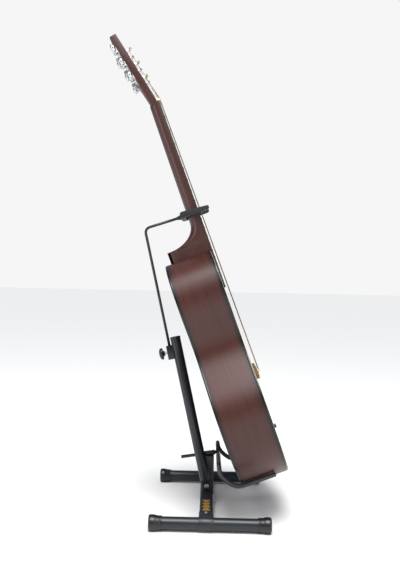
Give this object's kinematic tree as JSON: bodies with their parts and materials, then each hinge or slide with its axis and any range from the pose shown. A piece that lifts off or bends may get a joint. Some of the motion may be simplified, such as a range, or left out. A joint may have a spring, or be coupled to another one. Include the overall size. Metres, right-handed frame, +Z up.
{
  "type": "guitar on stand",
  "caption": "Steel-string acoustic guitar with dark mahogany sides, leaning in a black tubular floor stand with a neck fork, a clamped rod and a cradle.",
  "frame": {"origin": "on the floor, under the middle of the whole object's box", "axes": "+X the way the guitar faces, +Y towards the treble side, +Z up"},
  "size_m": [0.4088, 0.39, 1.03],
  "materials": {
    "black_powder_coat": "satin black powder coat",
    "black_rubber": "moulded matt rubber",
    "zinc_steel": "bright zinc plated",
    "black_nylon": "moulded nylon, light sheen",
    "spruce_top": "clear gloss over spruce, straight grain",
    "mahogany": "dark red-brown stain under satin lacquer",
    "black_binding": "polished black celluloid",
    "bare_spruce": "unfinished sanded wood",
    "rosette_inlay": "lacquered inlay rings",
    "rosewood": "oiled open-grained rosewood",
    "bone": "polished bone",
    "pearl": "pearl inlay",
    "nickel_silver": "polished wire",
    "bronze_string": "wound bronze and plain steel",
    "chrome_plate": "bright chrome plate"
  },
  "bodies": {
    "stand": {"crossbar": "black_powder_coat", "foot_tube_bass": "black_powder_coat", "foot_tube_treble": "black_powder_coat", "foot_cap_bass_front": "black_rubber", "foot_cap_bass_rear": "black_rubber", "foot_cap_treble_front": "black_rubber", "foot_cap_treble_rear": "black_rubber", "tube_saddles": "black_powder_coat", "saddle_screws": "zinc_steel", "upright": "black_powder_coat", "post_bolt": "zinc_steel"},
    "post": {"post_tube": "black_powder_coat", "post_cap": "black_nylon", "clamp_block": "black_nylon"},
    "neck_rest": {"neck_rest_rod": "black_powder_coat", "neck_fork": "black_rubber"},
    "clamp": {"clamp_screw": "zinc_steel", "clamp_knob": "black_nylon"},
    "cradle": {"cradle_frame": "black_powder_coat", "sleeve_bass": "black_rubber", "sleeve_treble": "black_rubber"},
    "guitar": {"soundboard": "spruce_top", "sides": "mahogany", "back": "mahogany", "top_binding": "black_binding", "back_binding": "black_binding", "linings": "bare_spruce", "neck_block": "mahogany", "tail_block": "mahogany", "top_braces": "bare_spruce", "back_braces": "bare_spruce", "rosette": "rosette_inlay", "pickguard": "black_binding", "bridge": "rosewood", "bridge_saddle": "bone", "bridge_pins": "bone", "neck": "mahogany", "heel_cap": "black_binding", "fretboard": "rosewood", "frets": "nickel_silver", "fret_dots": "pearl", "nut": "bone", "truss_rod": "zinc_steel", "truss_cover": "black_binding", "strings": "bronze_string", "end_pin": "black_nylon", "tuner_plates": "chrome_plate"},
    "volume": {"volume_knob": "black_nylon"},
    "tuner_post_1": {"tuner_post_1": "chrome_plate"},
    "tuner_post_2": {"tuner_post_2": "chrome_plate"},
    "tuner_post_3": {"tuner_post_3": "chrome_plate"},
    "tuner_post_4": {"tuner_post_4": "chrome_plate"},
    "tuner_post_5": {"tuner_post_5": "chrome_plate"},
    "tuner_post_6": {"tuner_post_6": "chrome_plate"},
    "tuner_button_1": {"tuner_button_1": "chrome_plate"},
    "tuner_button_2": {"tuner_button_2": "chrome_plate"},
    "tuner_button_3": {"tuner_button_3": "chrome_plate"},
    "tuner_button_4": {"tuner_button_4": "chrome_plate"},
    "tuner_button_5": {"tuner_button_5": "chrome_plate"},
    "tuner_button_6": {"tuner_button_6": "chrome_plate"}
  },
  "joints": [
    {"name": "post_fold", "type": "hinge", "parent": "stand", "child": "post", "pos_m": [0.02753, 0, 0.0426], "axis": [0, 1, 0], "range_deg": [-70, 0]},
    {"name": "neck_rest_height", "type": "slide", "parent": "post", "child": "neck_rest", "axis": [-0.2267, 0, 0.974], "range_m": [-0.02, 0]},
    {"name": "clamp_turn", "type": "hinge", "parent": "post", "child": "clamp", "pos_m": [-0.05815, 0, 0.33581], "axis": [-0.974, 0, -0.2267], "range_deg": [0, 720]},
    {"name": "cradle_pull", "type": "slide", "parent": "stand", "child": "cradle", "axis": [0.9869, 0, 0.1616], "range_m": [0, 0.09]},
    {"name": "guitar_lift", "type": "slide", "parent": "cradle", "child": "guitar", "axis": [0.7071, 0, 0.7071], "range_m": [0, 0.25]},
    {"name": "volume_turn", "type": "hinge", "parent": "guitar", "child": "volume", "pos_m": [0.17786, 0.095, 0.15621], "axis": [0.9348, 0, 0.3551], "range_deg": [-270, 0]},
    {"name": "button_turn_1", "type": "hinge", "parent": "guitar", "child": "tuner_button_1", "pos_m": [-0.15515, -0.024, 0.93125], "axis": [0, -1, 0], "continuous": true},
    {"name": "string_post_turn_1", "type": "hinge", "parent": "guitar", "child": "tuner_post_1", "pos_m": [-0.13044, -0.024, 0.93552], "axis": [0.8358, 0, 0.549], "continuous": true},
    {"name": "button_turn_2", "type": "hinge", "parent": "guitar", "child": "tuner_button_2", "pos_m": [-0.17382, -0.0255, 0.95967], "axis": [0, -1, 0], "continuous": true},
    {"name": "string_post_turn_2", "type": "hinge", "parent": "guitar", "child": "tuner_post_2", "pos_m": [-0.1491, -0.0255, 0.96394], "axis": [0.8358, 0, 0.549], "continuous": true},
    {"name": "button_turn_3", "type": "hinge", "parent": "guitar", "child": "tuner_button_3", "pos_m": [-0.19249, -0.027, 0.98808], "axis": [0, -1, 0], "continuous": true},
    {"name": "string_post_turn_3", "type": "hinge", "parent": "guitar", "child": "tuner_post_3", "pos_m": [-0.16777, -0.027, 0.99235], "axis": [0.8358, 0, 0.549], "continuous": true},
    {"name": "button_turn_4", "type": "hinge", "parent": "guitar", "child": "tuner_button_4", "pos_m": [-0.15515, 0.024, 0.93125], "axis": [0, 1, 0], "continuous": true},
    {"name": "string_post_turn_4", "type": "hinge", "parent": "guitar", "child": "tuner_post_4", "pos_m": [-0.13044, 0.024, 0.93552], "axis": [0.8358, 0, 0.549], "continuous": true},
    {"name": "button_turn_5", "type": "hinge", "parent": "guitar", "child": "tuner_button_5", "pos_m": [-0.17382, 0.0255, 0.95967], "axis": [0, 1, 0], "continuous": true},
    {"name": "string_post_turn_5", "type": "hinge", "parent": "guitar", "child": "tuner_post_5", "pos_m": [-0.1491, 0.0255, 0.96394], "axis": [0.8358, 0, 0.549], "continuous": true},
    {"name": "button_turn_6", "type": "hinge", "parent": "guitar", "child": "tuner_button_6", "pos_m": [-0.19249, 0.027, 0.98808], "axis": [0, 1, 0], "continuous": true},
    {"name": "string_post_turn_6", "type": "hinge", "parent": "guitar", "child": "tuner_post_6", "pos_m": [-0.16777, 0.027, 0.99235], "axis": [0.8358, 0, 0.549], "continuous": true}
  ],
  "couplings": [
    {"joint": "string_post_turn_1", "follows": "button_turn_1", "ratio": 0.066667},
    {"joint": "string_post_turn_2", "follows": "button_turn_2", "ratio": 0.066667},
    {"joint": "string_post_turn_3", "follows": "button_turn_3", "ratio": 0.066667},
    {"joint": "string_post_turn_4", "follows": "button_turn_4", "ratio": 0.066667},
    {"joint": "string_post_turn_5", "follows": "button_turn_5", "ratio": 0.066667},
    {"joint": "string_post_turn_6", "follows": "button_turn_6", "ratio": 0.066667}
  ]
}
